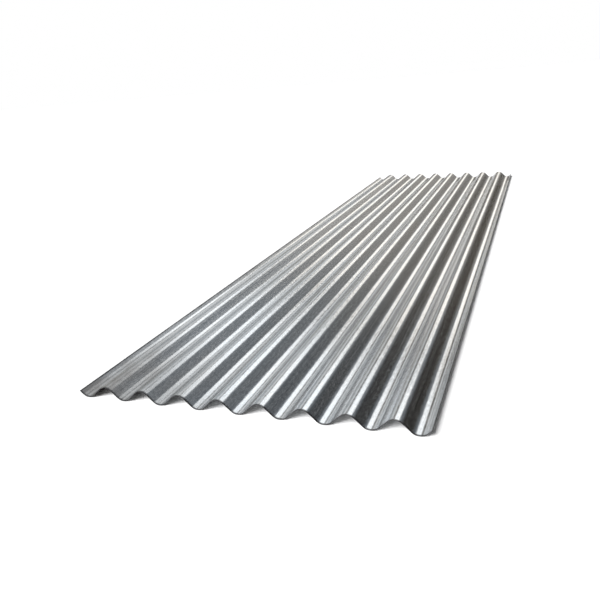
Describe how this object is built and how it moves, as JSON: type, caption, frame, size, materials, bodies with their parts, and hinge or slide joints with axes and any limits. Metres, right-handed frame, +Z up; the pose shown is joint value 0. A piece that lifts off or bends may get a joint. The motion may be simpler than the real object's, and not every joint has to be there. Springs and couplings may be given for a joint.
{
  "type": "corrugated metal sheet",
  "caption": "Galvanised steel sheet with rounded corrugations along its length and turned-up side-lap edges, lying flat, for roofs, walls and fences.",
  "frame": {"origin": "on the floor under the middle of the sheet, level with the undersides of its troughs", "axes": "+X across the corrugations, +Y along them, +Z up out of the crests"},
  "size_m": [0.648, 2.4384, 0.023],
  "materials": {
    "galvanised_steel": "bright zinc coating with fine grain and faint rolling lines along the corrugations"
  },
  "bodies": {
    "root": {"corrugated_sheet": "galvanised_steel"}
  },
  "joints": []
}
